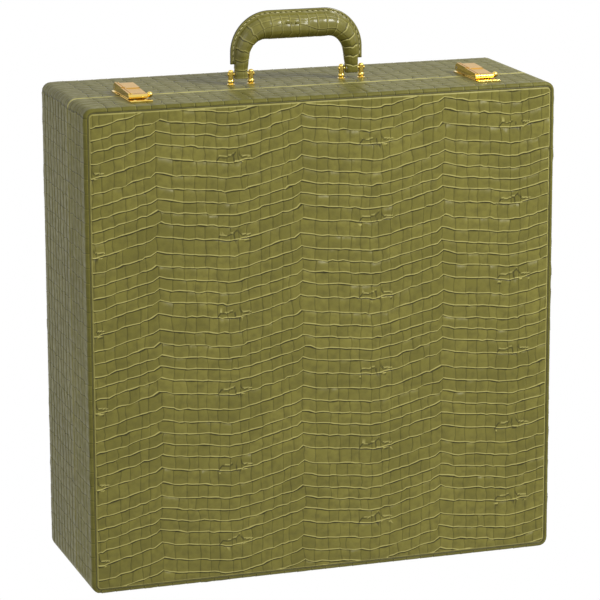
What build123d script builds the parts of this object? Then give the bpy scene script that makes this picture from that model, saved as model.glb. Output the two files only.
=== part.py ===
"""Chess box: a square attaché-style case that stands on its hinge side.

Millimetres. X runs to the viewer's right, Y to the back and Z up. The origin lies on the floor under the
middle of the case. The shallow lid is in front, the deep base behind it, and the two meet in a plane of
constant Y. Two butt hinges are sunk into the foot of that plane, two latches lie across its top.
"""
import os

from build123d import *

os.makedirs("parts", exist_ok=True)

# Case
case_width = 432.0
case_height = 432.0
lid_depth = 56.0
base_depth = 96.0
corner_radius = 8.0
edge_radius = 3.0
rim_radius = 0.8
parting_gap = 0.5
leather = 1.2
wall = 8.0
board = 6.0
base_lining = 1.0
lid_lining = 0.7
panel = 2.0
panel_radius = 1.3
turn_in = 3.0
piping_diameter = 1.2
seam_height = 9.0
inner_radius = 2.0

# Inner rim of the base, over which the lid closes
valance_thickness = 2.0
valance_reach = 8.5
valance_root = 28.0
valance_edge = 0.6

# Lid cushion
cushion_depth = 24.0
cushion_seam_drop = 4.0
cushion_crown = 4.0
cushion_gap = 0.4
cushion_flutes = 6

# Trays
tray_side_play = 1.0
tray_top_play = 3.7
tray_height = 50.0
tray_floor = 4.0
tray_rim = 5.0
tray_corner = 3.0
tray_divider = 4.0
tray_gap = 0.3
tray_columns = 4
piece_rows = 2
pawn_row = 110.0
divider_drop = 2.0
half_lap_play = 0.1
scoop_radius = 18.0
scoop_depth = 10.0
ribbon_width = 16.0
ribbon_thickness = 0.8
ribbon_bend = 3.0
ribbon_glued = 34.0
ribbon_hanging = 20.0
ribbon_drop = 2.5

# Lid hinges
hinge_inset = 86.0
hinge_length = 64.0
hinge_axis_height = 3.2
hinge_knuckle_radius = 2.7
hinge_pin_radius = 1.2
hinge_pin_play = 0.05
hinge_knuckles = 5
hinge_knuckle_gap = 0.2
hinge_sheet = 1.0
hinge_flange = 15.0
hinge_relief = 4.2
hinge_screw_radius = 1.25
hinge_screw_head = 2.3
hinge_screw_length = 6.5
hinge_screw_spread = 44.0
hinge_screws = 3

# Handle
handle_y = 4.0
handle_width = 123.0
handle_rise = 65.0
bar_radius = 10.7
leg_radius = 6.4
leg_inset = 11.0
handle_bend = 24.0
welt_reach = 4.0
welt_corner = 36.5
welt_thickness = 2.8
welt_foot = 18.5
core_diameter = 5.0
core_rise = 2.2
tab_inset = 9.8
tab_width = 10.8
tab_thickness = 8.0
tab_corner = 3.5
tab_top = 15.0
eye_diameter = 5.8
pivot_height = 9.5
pivot_radius = 1.5
pivot_play = 0.05
pin_end = 0.6
post_spread = 18.6
post_radius = 2.3
post_height = 13.4
post_crown = 1.6
post_ball_radius = 2.9
post_ball_rise = 2.2
post_foot_radius = 3.6
post_foot = 0.8
shank_radius = 1.5
nut_radius = 3.4
nut_height = 2.4
washer_radius = 3.9
washer_thickness = 0.6

# Latches; their own coordinates count sideways from the latch's middle, back from the parting plane
# and up from the top of the case
latch_inset = 56.0
latch_clearance = 0.3
plate_width = 20.0
plate_sheet = 1.0
plate_front = 1.0
plate_back = 26.0
plate_corner = 2.0
ear_thickness = 1.4
ear_radius = 2.2
ear_reach = 7.0
hasp_width = 17.0
hasp_sheet = 0.9
hasp_skirt = 1.0
hasp_knuckle_radius = 3.4
hasp_pivot_back = 20.5
hasp_pin_radius = 1.2
hasp_pin_play = 0.05
hasp_step = 0.7
hasp_step_front = 1.5
hasp_front = 27.0
hasp_front_top = 5.4
hasp_groove = 1.0
hasp_groove_depth = 0.5
rail_width = 4.2
rail_rise = 1.0
rail_groove = 0.8
rail_edge = 0.25
barb_width = 3.0
barb_sheet = 1.0
barb_reach = 2.0
barb_thickness = 0.5
barb_sway = 0.4
bolt_depth = 3.2
bolt_height = 1.4
bolt_left = 6.6
bolt_notch = 4.0
bolt_play = 0.1
knob_radius = 2.6
knob_forward = 2.4
guide_left_width = 4.2
guide_right_width = 1.8
guide_rim = 1.0
guide_roof = 0.45
guide_right = 5.2
catch_sheet = 1.2
catch_front = 38.0
catch_back = 2.0
catch_bead = 2.0
catch_bead_rise = 0.6
spring_sheet = 0.5
spring_width = 5.0
spring_start = 0.6
spring_foot = 6.5
spring_arm = 4.5
rivet_side = 4.8
rivet_inset = 2.6
rivet_pitch = 7.4
rivet_radius = 0.9
rivet_head_radius = 1.6
rivet_head_rise = 0.8
rivet_length = 5.0

front_y = -(lid_depth + base_depth) / 2
back_y = (lid_depth + base_depth) / 2
parting_y = front_y + lid_depth
lid_rim_y = parting_y - parting_gap / 2
base_rim_y = parting_y + parting_gap / 2
wall_inset = leather + wall
top_z = case_height


# Basic shapes
def span(x_low, x_high, y_low, y_high, z_low, z_high):
    """Box between two corners."""
    size = (x_high - x_low, y_high - y_low, z_high - z_low)
    middle = ((x_low + x_high) / 2, (y_low + y_high) / 2, (z_low + z_high) / 2)
    return Pos(*middle) * Box(*size)


def rod_x(x_low, x_high, y, z, radius):
    """Round bar along X."""
    middle = ((x_low + x_high) / 2, y, z)
    return Pos(*middle) * Rot(0, 90, 0) * Cylinder(radius, x_high - x_low)


def rod_z(x, y, z_low, z_high, radius):
    """Round bar along Z."""
    return Pos(x, y, (z_low + z_high) / 2) * Cylinder(radius, z_high - z_low)


def prism_y(points, y_low, y_high):
    """Polygon of (x, z) points drawn out along Y."""
    face = make_face(Polyline([(x, y_low, z) for x, z in points], close=True))
    return extrude(face, amount=y_high - y_low, dir=(0, 1, 0))


def prism_x(points, x_low, x_high):
    """Polygon of (y, z) points drawn out along X."""
    face = make_face(Polyline([(x_low, y, z) for y, z in points], close=True))
    return extrude(face, amount=x_high - x_low, dir=(1, 0, 0))


def outline_block(inset, y_one, y_two, radius=None):
    """The case's outline, inset all round and drawn out between two planes of Y; radius 0 is sharp."""
    if radius is None:
        radius = max(corner_radius - inset, inner_radius)
    y_low = min(y_one, y_two)
    plane = Plane(origin=(0, y_low, case_height / 2), x_dir=(1, 0, 0), z_dir=(0, 1, 0))
    width = case_width - 2 * inset
    height = case_height - 2 * inset
    sketch = RectangleRounded(width, height, radius) if radius else Rectangle(width, height)
    return extrude(plane * sketch, amount=abs(y_two - y_one), dir=(0, 1, 0))


def end_edges(solid, toward_back):
    """Edges of the face that lies furthest back, or furthest to the front."""
    faces = solid.faces().sort_by(Axis.Y)
    return (faces[-1] if toward_back else faces[0]).edges()


def group(solids):
    """Separate solids of one node."""
    return Compound(children=[part for solid in solids for part in solid.solids()])


def write(name, shape):
    export_step(shape, f"parts/{name}.step")


def mitred(ring, x_low, x_high, z_low, z_high, depth, y_low, y_high):
    """The four boards of a rectangular frame, cut apart along its corners' diagonals."""
    margin = 1.0
    outer = [
        (x_low - margin, z_low - margin),
        (x_high + margin, z_low - margin),
        (x_high + margin, z_high + margin),
        (x_low - margin, z_high + margin),
    ]
    reach = margin + depth
    inner = [
        (outer[0][0] + reach, outer[0][1] + reach),
        (outer[1][0] - reach, outer[1][1] + reach),
        (outer[2][0] - reach, outer[2][1] - reach),
        (outer[3][0] + reach, outer[3][1] - reach),
    ]
    boards = []
    for side in range(4):
        after = (side + 1) % 4
        wedge = prism_y([outer[side], outer[after], inner[after], inner[side]], y_low, y_high)
        boards.append(ring & wedge)
    return boards


# Hinge places, shared by the casings and the hinges
hinge_y = parting_y
hinge_z = hinge_axis_height
hinge_places = [hinge_inset - case_width / 2, case_width / 2 - hinge_inset]
screw_offsets = [
    (index / (hinge_screws - 1) - 0.5) * hinge_screw_spread for index in range(hinge_screws)
]
hinge_relief_cut = rod_x(-case_width, case_width, hinge_y, hinge_z, hinge_relief) + span(
    -case_width, case_width, hinge_y - hinge_relief, hinge_y + hinge_relief, -hinge_relief, hinge_z
)


def hinge_leaf(side):
    """Leaf of one casing: side is -1 for the lid and 1 for the base. Knuckles alternate along the pin."""
    pitch = hinge_length / hinge_knuckles
    first = 0 if side > 0 else 1
    leaves = []
    for place in hinge_places:
        low = place - hinge_length / 2
        near = hinge_y + side * parting_gap / 2
        far = near + side * hinge_sheet
        shelf = hinge_y + side * hinge_flange
        floor = wall_inset + hinge_sheet
        leaf = span(low, low + hinge_length, min(near, far), max(near, far), hinge_z, floor)
        leaf += span(low, low + hinge_length, min(near, shelf), max(near, shelf), wall_inset, floor)
        for index in range(hinge_knuckles):
            start = low + index * pitch
            if index % 2 == first:
                knuckle_low = start + hinge_knuckle_gap / 2
                knuckle_high = start + pitch - hinge_knuckle_gap / 2
                leaf += rod_x(knuckle_low, knuckle_high, hinge_y, hinge_z, hinge_knuckle_radius)
        for index in range(hinge_knuckles):
            start = low + index * pitch
            if index % 2 != first:
                clear = hinge_knuckle_radius + hinge_knuckle_gap
                leaf -= rod_x(start, start + pitch, hinge_y, hinge_z, clear)
        play = hinge_pin_play if side < 0 else 0.0
        leaf -= rod_x(low - 1, low + hinge_length + 1, hinge_y, hinge_z, hinge_pin_radius + play)
        for offset in screw_offsets:
            leaf -= hinge_screw(place + offset, side)
        leaves.append(leaf)
    return group(leaves)


def hinge_screw(x, side):
    """Countersunk screw through a hinge's flange into the bottom board."""
    y = hinge_y + side * (hinge_flange + hinge_relief) / 2
    top = wall_inset + hinge_sheet
    head = Pos(x, y, top - hinge_sheet / 2) * Cone(hinge_screw_radius, hinge_screw_head, hinge_sheet)
    return head + rod_z(x, y, top - hinge_screw_length, top - hinge_sheet / 2, hinge_screw_radius)


def hinge_screw_set(side):
    return [hinge_screw(place + offset, side) for place in hinge_places for offset in screw_offsets]


hinge_pins = group(
    [
        rod_x(place - hinge_length / 2, place + hinge_length / 2, hinge_y, hinge_z, hinge_pin_radius)
        for place in hinge_places
    ]
)

# Handle places, shared by the base, the posts and the grip
pivot_z = top_z + pivot_height
tab_x = handle_width / 2 - tab_inset
post_places = [side * tab_x + inner * post_spread / 2 for side in (-1, 1) for inner in (-1, 1)]
wall_top_z = top_z - wall_inset


def handle_post(x):
    """Gilt post with a foot, a ball and a domed top; its shank passes through leather and wall."""
    foot_top = top_z + post_foot
    post = rod_z(x, handle_y, foot_top, top_z + post_height, post_radius)
    post = fillet(post.edges().sort_by(Axis.Z)[-1], post_crown)
    ball = Pos(x, handle_y, foot_top + post_ball_rise) * Sphere(post_ball_radius)
    post += ball & rod_z(x, handle_y, foot_top, pivot_z, post_foot_radius)
    post += rod_z(x, handle_y, top_z, foot_top, post_foot_radius)
    post += rod_z(x, handle_y, wall_top_z, top_z, shank_radius)
    return post - rod_x(x - 2 * post_radius, x + 2 * post_radius, handle_y, pivot_z, pivot_radius)


def post_nut(x):
    """Hexagon nut sunk into the inside of the top board."""
    nut = extrude(RegularPolygon(nut_radius, 6, major_radius=True), amount=nut_height)
    return Pos(x, handle_y, wall_top_z) * nut - rod_z(x, handle_y, wall_top_z - 1, top_z, shank_radius)


def post_washer(x):
    low = wall_top_z + nut_height
    disc = rod_z(x, handle_y, low, low + washer_thickness, washer_radius)
    return disc - rod_z(x, handle_y, low - 1, low + washer_thickness + 1, shank_radius)


def post_hole(x):
    """Bore for a post's shank with the sinking for its nut and washer."""
    sinking = rod_z(x, handle_y, wall_top_z - 1, wall_top_z + nut_height + washer_thickness, washer_radius)
    return rod_z(x, handle_y, wall_top_z - 1, top_z + 1, shank_radius) + sinking


# Latch places
latch_places = [latch_inset - case_width / 2, case_width / 2 - latch_inset]
plate_rivets = [
    (side * rivet_side, plate_front + rivet_inset + row * rivet_pitch)
    for side in (-1, 1)
    for row in (0, 1)
]
catch_rivets = [
    (side * rivet_side, -front)
    for side in (-1, 1)
    for front in (catch_front - catch_bead - rivet_inset, catch_back + rivet_inset)
]

hasp_pivot_height = plate_sheet + latch_clearance + hasp_knuckle_radius
hasp_top = hasp_pivot_height + hasp_knuckle_radius
hasp_lip_radius = (hasp_front_top - catch_sheet - latch_clearance) / 2
hasp_lip_front = hasp_front - hasp_lip_radius
hasp_slope = (hasp_top - hasp_front_top - hasp_step) / (hasp_pivot_back + hasp_lip_front)
guide_front = hasp_front - 2 * hasp_lip_radius - latch_clearance
bolt_back = guide_front - guide_rim - bolt_depth
bolt_low = catch_sheet + latch_clearance + barb_thickness + latch_clearance
bolt_high = bolt_low + bolt_height


def hasp_height(back):
    """Height of the hasp's sloping top, before its step, at one place back from the parting plane."""
    return hasp_top - hasp_slope * (hasp_pivot_back - back)


def latch_point(x, sideways, back, up):
    return (x + sideways, parting_y + back, top_z + up)


def rivet(x, sideways, back, seat):
    """Domed rivet through a plate of the latch into the top board."""
    place = latch_point(x, sideways, back, seat)
    sphere_radius = (rivet_head_radius**2 + rivet_head_rise**2) / (2 * rivet_head_rise)
    ball = Pos(place[0], place[1], place[2] + rivet_head_rise - sphere_radius) * Sphere(sphere_radius)
    head = ball & rod_z(place[0], place[1], place[2], place[2] + 2 * rivet_head_rise, rivet_head_radius)
    return head + rod_z(place[0], place[1], place[2] - rivet_length, place[2], rivet_radius)


def plate_rivet_set():
    return [rivet(x, side, back, plate_sheet) for x in latch_places for side, back in plate_rivets]


def catch_rivet_set():
    return [rivet(x, side, back, catch_sheet) for x in latch_places for side, back in catch_rivets]


# Casings
def casing(side):
    """Boards, leather and piping of one half: side is -1 for the lid and 1 for the base."""
    back = side > 0
    face_y = back_y if back else front_y
    rim_y = base_rim_y if back else lid_rim_y
    wood_face = face_y - side * panel
    wood_rim = rim_y + side * leather
    wrap_face = wood_face + side * leather
    lining = base_lining if back else lid_lining
    y_low = min(face_y, rim_y) - 1
    y_high = max(face_y, rim_y) + 1

    wood = outline_block(leather, wood_rim, wood_face)
    wood = fillet(end_edges(wood, back), edge_radius - leather)
    ring = wood - outline_block(wall_inset, wood_rim, wood_face)
    ring -= hinge_relief_cut
    for x in hinge_places:
        mortise_far = rim_y + side * (hinge_sheet + half_lap_play)
        low = x - hinge_length / 2
        near_y, far_y = sorted((rim_y, mortise_far))
        ring -= span(low, low + hinge_length, near_y, far_y, 0, wall_inset)
    for screw in hinge_screw_set(side):
        ring -= screw
    holes = plate_rivet_set() if back else catch_rivet_set()
    for hole in holes:
        ring -= hole
    if back:
        for x in post_places:
            ring -= post_hole(x)
    half_width = case_width / 2
    boards = mitred(ring, -half_width, half_width, 0, case_height, 2 * wall_inset, y_low, y_high)

    skin = outline_block(0, rim_y, wrap_face)
    skin = fillet(end_edges(skin, back), edge_radius)
    skin = fillet(end_edges(skin, not back), rim_radius)
    skin -= wood
    skin -= outline_block(wall_inset, rim_y - side, rim_y + 3 * side)
    skin -= outline_block(turn_in, wrap_face - 3 * side, wrap_face + side)
    skin -= hinge_relief_cut
    slot_half = half_width - wall_inset
    skin -= span(-slot_half, slot_half, min(rim_y, wood_rim), max(rim_y, wood_rim), 0, wall_inset)
    for hole in holes:
        skin -= hole
    if back:
        for x in post_places:
            skin -= post_hole(x)
    seam = span(-case_width, case_width, y_low, y_high, -1, seam_height)
    foot_leather = skin & seam
    wrap = skin - seam

    big_board = outline_block(wall_inset, wood_face, wood_face - side * board)
    panel_inset = turn_in + piping_diameter
    padded = outline_block(panel_inset, wood_face, face_y)
    padded = fillet(end_edges(padded, back), panel_radius)
    cord_inset = turn_in + piping_diameter / 2
    cord_path = outline_path(cord_inset, wood_face + side * piping_diameter / 2)
    cord = sweep(path_profile(cord_path, piping_diameter / 2), path=cord_path)

    strips = outline_block(wall_inset, wood_rim, wood_face - side * board)
    strips -= outline_block(wall_inset + lining, wood_rim - side, wood_face, 0)
    for x in hinge_places:
        reach = hinge_length / 2 + half_lap_play
        near = rim_y - side
        far = hinge_y + side * (hinge_flange + half_lap_play)
        sheet_top = wall_inset + hinge_sheet + half_lap_play
        strips -= span(x - reach, x + reach, min(near, far), max(near, far), 0, sheet_top)
    strips = mitred(strips, -half_width, half_width, 0, case_height, 3 * wall_inset, y_low, y_high)
    return boards, wrap, foot_leather, big_board, padded, cord, strips


def outline_path(inset, y):
    """Closed rounded outline of the case at one inset, as a wire for a sweep."""
    plane = Plane(origin=(0, y, case_height / 2), x_dir=(1, 0, 0), z_dir=(0, 1, 0))
    radius = max(corner_radius - inset, inner_radius)
    sketch = RectangleRounded(case_width - 2 * inset, case_height - 2 * inset, radius)
    return (plane * sketch).faces()[0].outer_wire()


def path_profile(path, radius):
    """Circle square to a path at its start."""
    return Plane(origin=path @ 0, z_dir=path % 0) * Circle(radius)


lid_boards, lid_wrap, lid_foot_leather, lid_board, lid_panel, lid_cord, lid_strips = casing(-1)
base_boards, base_wrap, base_foot_leather, base_board, base_panel, base_cord, base_strips = casing(1)

write("lid_frame", group(lid_boards))
write("lid_wrap", lid_wrap)
write("lid_foot_leather", lid_foot_leather)
write("lid_board", lid_board)
write("lid_panel", lid_panel)
write("lid_piping", lid_cord)
write("lid_side_lining", group(lid_strips))
write("base_frame", group(base_boards))
write("base_wrap", base_wrap)
write("base_foot_leather", base_foot_leather)
write("base_board", base_board)
write("base_panel", base_panel)
write("base_piping", base_cord)
write("base_side_lining", group(base_strips))

board_inner_y = back_y - panel - board
lid_inner_y = front_y + panel + board
lining_inset = wall_inset + base_lining
back_lining = outline_block(lining_inset, board_inner_y, board_inner_y - base_lining, 0)
write("base_back_lining", back_lining)

# Valance: three boards inside the base's rim that reach into the closed lid
valance_left = -case_width / 2 + lining_inset
valance_top = case_height - lining_inset
valance_front = parting_y - valance_reach
valance_back = parting_y + valance_root
valance = []
for side in (-1, 1):
    outer_x = side * -valance_left
    inner_x = outer_x - side * valance_thickness
    x_pair = sorted((outer_x, inner_x))
    strip = span(*x_pair, valance_front, valance_back, lining_inset, valance_top - valance_thickness)
    valance.append(fillet(strip.edges().filter_by(Axis.Z).sort_by(Axis.Y)[:2], valance_edge))
top_strip = span(
    valance_left, -valance_left, valance_front, valance_back, valance_top - valance_thickness, valance_top
)
valance.append(fillet(top_strip.edges().filter_by(Axis.X).sort_by(Axis.Y)[:2], valance_edge))
write("base_valance", group(valance))


def lid_cushion():
    """Padded inside of the lid: upright flutes, crowned from top to foot and drawn in at both ends."""
    inset = wall_inset + lid_lining + cushion_gap
    half = case_width / 2 - inset
    seam_y = lid_inner_y + cushion_depth - cushion_seam_drop
    crest_y = lid_inner_y + cushion_depth
    pitch = 2 * half / cushion_flutes
    edges = [Line((-half, seam_y), (-half, lid_inner_y))]
    edges.append(Line((-half, lid_inner_y), (half, lid_inner_y)))
    edges.append(Line((half, lid_inner_y), (half, seam_y)))
    for index in range(cushion_flutes):
        start = half - index * pitch
        middle = start - pitch / 2
        edges.append(ThreePointArc((start, seam_y), (middle, crest_y), (start - pitch, seam_y)))
    z_low = inset
    z_high = case_height - inset
    fluted = Pos(0, 0, z_low) * extrude(make_face(edges), amount=z_high - z_low)
    end_y = crest_y - cushion_crown
    middle_z = (z_low + z_high) / 2
    crown = [
        Line((0, lid_inner_y, z_low), (0, lid_inner_y, z_high)),
        Line((0, lid_inner_y, z_high), (0, end_y, z_high)),
        ThreePointArc((0, end_y, z_high), (0, crest_y, middle_z), (0, end_y, z_low)),
        Line((0, end_y, z_low), (0, lid_inner_y, z_low)),
    ]
    side_view = Pos(-half, 0, 0) * extrude(make_face(crown), amount=2 * half, dir=(1, 0, 0))
    return fluted & side_view


write("lid_cushion", lid_cushion())

# Hinges
write("hinge_leaves_lid", hinge_leaf(-1))
write("hinge_leaves_base", hinge_leaf(1))
write("hinge_pins", hinge_pins)
write("hinge_screws_lid", group(hinge_screw_set(-1)))
write("hinge_screws_base", group(hinge_screw_set(1)))

# Handle: its legs widen upwards into a bar of one thickness, and the widening lies in the two corners
handle_top_z = top_z + handle_rise
bar_z = handle_top_z - welt_reach - bar_radius
leg_x = handle_width / 2 - leg_inset
bar_half = leg_x - handle_bend
bend_z = bar_z - handle_bend


def handle_arch(low_x, low_z, high_x, high_z, radius):
    """Upside-down U in the handle's plane, with rounded upper corners."""
    points = [(-low_x, low_z), (-high_x, high_z), (high_x, high_z), (low_x, low_z)]
    return FilletPolyline([(x, handle_y, z) for x, z in points], radius=radius)


def leg(side):
    """Half of the grip from its tab, through the leg, to the end of the bar."""
    x = side * tab_x
    tab_plane = Plane(origin=(x, handle_y, top_z + tab_top), x_dir=(0, 1, 0), z_dir=(0, 0, 1))
    tab_section = tab_plane * RectangleRounded(tab_thickness, tab_width, tab_corner)
    halfway = handle_bend * 0.5**0.5
    bend = ThreePointArc(
        (side * leg_x, handle_y, bend_z),
        (side * (bar_half + halfway), handle_y, bend_z + halfway),
        (side * bar_half, handle_y, bar_z),
    )
    leg_section = Plane(origin=bend @ 0, x_dir=(0, 1, 0), z_dir=bend % 0) * Circle(leg_radius)
    bar_section = Plane(origin=bend @ 1, x_dir=(0, 1, 0), z_dir=bend % 1) * Circle(bar_radius)
    shape = loft([tab_section, leg_section])
    shape += extrude(tab_section, amount=tab_top - pivot_height, dir=(0, 0, -1))
    shape += rod_x(x - tab_width / 2, x + tab_width / 2, handle_y, pivot_z, tab_thickness / 2)
    shape += sweep([leg_section, bar_section], path=bend, multisection=True)
    return shape


core_path = handle_arch(tab_x, pivot_z + core_rise, leg_x, bar_z, handle_bend)
core = sweep(path_profile(core_path, core_diameter / 2), path=core_path)
grip = rod_x(-bar_half, bar_half, handle_y, bar_z, bar_radius)
for side in (-1, 1):
    x = side * tab_x
    core += rod_x(x - tab_width / 2, x + tab_width / 2, handle_y, pivot_z, eye_diameter / 2)
    grip += leg(side)
for side in (-1, 1):
    x = side * tab_x
    core -= rod_x(x - tab_width, x + tab_width, handle_y, pivot_z, pivot_radius + pivot_play)
    grip -= rod_x(x - tab_width, x + tab_width, handle_y, pivot_z, eye_diameter / 2)

welt_half = handle_width / 2
welt_arch = handle_arch(welt_half, top_z + welt_foot, welt_half, handle_top_z, welt_corner)
welt_edges = [*welt_arch.edges(), Line(welt_arch @ 1, welt_arch @ 0)]
welt_block = extrude(make_face(welt_edges), amount=welt_thickness / 2, both=True, dir=(0, 1, 0))
welt = (welt_block - grip).solids().sort_by(Axis.Z)[-1]
grip -= core

write("handle_grip", grip)
write("handle_core", core)
write("handle_welt", welt)
write("handle_posts", group([handle_post(x) for x in post_places]))
write("handle_nuts", group([post_nut(x) for x in post_places]))
write("handle_washers", group([post_washer(x) for x in post_places]))
pin_reach = post_spread / 2 + post_radius + pin_end
write(
    "handle_pins",
    group([rod_x(x - pin_reach, x + pin_reach, handle_y, pivot_z, pivot_radius) for x in (-tab_x, tab_x)]),
)


# Latches
def latch_plate(x):
    """Plate riveted to the base, with two ears inside the hasp's skirts that carry its pin."""
    half = plate_width / 2
    y_front = parting_y + plate_front
    y_back = parting_y + plate_back
    plate = span(x - half, x + half, y_front, y_back, top_z, top_z + plate_sheet)
    plate = fillet(plate.edges().filter_by(Axis.Z).sort_by(Axis.Y)[-2:], plate_corner)
    pivot = latch_point(x, 0, hasp_pivot_back, hasp_pivot_height)
    for ear_x in ear_places(x):
        plate += span(*ear_x, pivot[1] - ear_reach, pivot[1] + ear_radius, top_z, pivot[2])
        plate += rod_x(*ear_x, pivot[1], pivot[2], ear_radius)
    plate -= rod_x(x - half, x + half, pivot[1], pivot[2], hasp_pin_radius)
    for sideways, back in plate_rivets:
        plate -= rivet(x, sideways, back, plate_sheet)
    return plate


def ear_places(x):
    """Both ears' extents in X."""
    outer = hasp_width / 2 - hasp_skirt - latch_clearance
    return [(x - outer, x - outer + ear_thickness), (x + outer - ear_thickness, x + outer)]


def latch_profile(points, x_low, x_high):
    """Polygon of (back, up) points drawn out along X."""
    return prism_x([(parting_y + back, top_z + up) for back, up in points], x_low, x_high)


def hasp_band(rise, depth):
    """Profile of a strip along the hasp's stepped top: raised by one amount and so deep."""
    step_back = depth - hasp_step_front
    return [
        (hasp_pivot_back, hasp_height(hasp_pivot_back) + rise),
        (-hasp_step_front, hasp_height(-hasp_step_front) + rise),
        (-hasp_step_front, hasp_height(-hasp_step_front) - hasp_step + rise),
        (-hasp_lip_front, hasp_height(-hasp_lip_front) - hasp_step + rise),
        (-hasp_lip_front, hasp_height(-hasp_lip_front) - hasp_step + rise - depth),
        (step_back, hasp_height(step_back) - hasp_step + rise - depth),
        (step_back, hasp_height(step_back) + rise - depth),
        (hasp_pivot_back, hasp_height(hasp_pivot_back) + rise - depth),
    ]


def hasp(x):
    """Hinged cover with skirts, a stepped top, a ribbed rail on its left, a rolled lip and a barb below."""
    half = hasp_width / 2
    low = x - half
    high = x + half
    pivot = latch_point(x, 0, hasp_pivot_back, hasp_pivot_height)
    skirt_low = catch_sheet + latch_clearance
    lip_place = latch_point(x, 0, -hasp_lip_front, hasp_front_top - hasp_lip_radius)
    body = latch_profile(hasp_band(0.0, hasp_sheet), low, high)
    body += rod_x(low, high, lip_place[1], lip_place[2], hasp_lip_radius)
    skirt = hasp_band(0.0, hasp_sheet)[:4] + [(-hasp_lip_front, skirt_low), (hasp_pivot_back, skirt_low)]
    for skirt_x in (low, high - hasp_skirt):
        body += latch_profile(skirt, skirt_x, skirt_x + hasp_skirt)
        body += rod_x(skirt_x, skirt_x + hasp_skirt, pivot[1], pivot[2], hasp_knuckle_radius)
    left_ear, right_ear = ear_places(x)
    knuckle_low = left_ear[1] + latch_clearance
    knuckle_high = right_ear[0] - latch_clearance
    body += rod_x(knuckle_low, knuckle_high, pivot[1], pivot[2], hasp_knuckle_radius)

    rail_high = low + rail_width
    rail = latch_profile(hasp_band(rail_rise, rail_rise + rail_edge), low, rail_high)
    for sideways in (rail_width / 2, rail_width):
        groove_x = low + sideways - rail_groove / 2
        groove = latch_profile(hasp_band(2 * rail_rise, 2 * rail_rise), groove_x, groove_x + rail_groove)
        rail -= groove
    body += rail
    groove_back = guide_front
    groove_floor = hasp_height(-groove_back) - hasp_step - hasp_groove_depth
    groove = [
        (-groove_back, groove_floor),
        (hasp_groove - groove_back, groove_floor),
        (hasp_groove - groove_back, hasp_top),
        (-groove_back, hasp_top),
    ]
    body -= latch_profile(groove, rail_high, high + hasp_skirt)

    stem_back = latch_clearance - bolt_back
    barb_low = catch_sheet + latch_clearance
    barb_half = barb_width / 2
    barb = [
        (stem_back - barb_reach, barb_low),
        (stem_back + barb_sheet, barb_low),
        (stem_back + barb_sheet, hasp_height(-bolt_back) - hasp_step - hasp_sheet / 2),
        (stem_back, hasp_height(-bolt_back) - hasp_step - hasp_sheet / 2),
        (stem_back, barb_low + barb_thickness),
        (stem_back - barb_reach, barb_low + barb_thickness),
    ]
    body += latch_profile(barb, x - barb_half, x + barb_half)
    opening = [
        (-bolt_back - bolt_depth - latch_clearance, 0),
        (latch_clearance - bolt_back, 0),
        (latch_clearance - bolt_back, bolt_high + latch_clearance),
        (-bolt_back - bolt_depth - latch_clearance, bolt_high + latch_clearance),
    ]
    body -= latch_profile(opening, high - 2 * hasp_skirt, high + hasp_skirt)
    return body - rod_x(low, high, pivot[1], pivot[2], hasp_pin_radius + hasp_pin_play)


def release(x):
    """Sliding bolt over the hasp's barb, with a notch that frees it, and a round knob on its right end."""
    y_high = parting_y - bolt_back
    y_low = y_high - bolt_depth
    knob_x = x + hasp_width / 2 + latch_clearance + knob_radius
    bar = span(x - bolt_left, knob_x, y_low, y_high, top_z + bolt_low, top_z + bolt_high)
    notch_right = x - barb_width / 2 - latch_clearance
    notch_low = y_high - barb_reach - barb_sway
    bar -= span(notch_right - bolt_notch, notch_right, notch_low, y_high, top_z, top_z + bolt_high)
    knob_y = parting_y - bolt_back - bolt_depth / 2 - knob_forward
    knob_z = top_z + catch_sheet + latch_clearance + knob_radius
    return bar + Pos(knob_x, knob_y, knob_z) * Sphere(knob_radius)


def catch_plate(x):
    """Plate riveted to the lid with a bead along its front and the two guides of the sliding bolt."""
    half = plate_width / 2
    y_front = parting_y - catch_front
    y_back = parting_y - catch_back
    plate = span(x - half, x + half, y_front, y_back, top_z, top_z + catch_sheet)
    bead_top = top_z + catch_sheet + catch_bead_rise
    bead = span(x - half, x + half, y_front, y_front + catch_bead, top_z, bead_top)
    plate += fillet(bead.edges().filter_by(Axis.X).sort_by(Axis.Z)[-2:], catch_bead_rise)
    guide_back = parting_y - bolt_back + guide_rim
    guide_top = top_z + bolt_high + bolt_play + guide_roof
    for low, width in ((-bolt_left, guide_left_width), (guide_right, guide_right_width)):
        plate += span(x + low, x + low + width, parting_y - guide_front, guide_back, top_z, guide_top)
    slot_front = parting_y - bolt_back - bolt_depth - bolt_play
    slot_back = parting_y - bolt_back + bolt_play
    slot_low = top_z + bolt_low - bolt_play
    slot_high = top_z + bolt_high + bolt_play
    plate -= span(x - half, x + half, slot_front, slot_back, slot_low, slot_high)
    for sideways, back in catch_rivets:
        plate -= rivet(x, sideways, back, catch_sheet)
    return plate


def hasp_spring(x):
    """Leaf spring on the plate under the hasp, which throws the hasp up when the bolt frees it."""
    low = x - spring_width / 2
    foot = plate_front + spring_start
    bend = foot + spring_foot
    tip = bend + spring_arm
    under = hasp_height(bend) - hasp_sheet - latch_clearance
    points = [
        (foot, plate_sheet),
        (bend, plate_sheet),
        (tip, under - spring_sheet),
        (tip, under),
        (tip - spring_sheet, under),
        (bend - spring_sheet, plate_sheet + spring_sheet),
        (foot, plate_sheet + spring_sheet),
    ]
    return latch_profile(points, low, low + spring_width)


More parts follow.
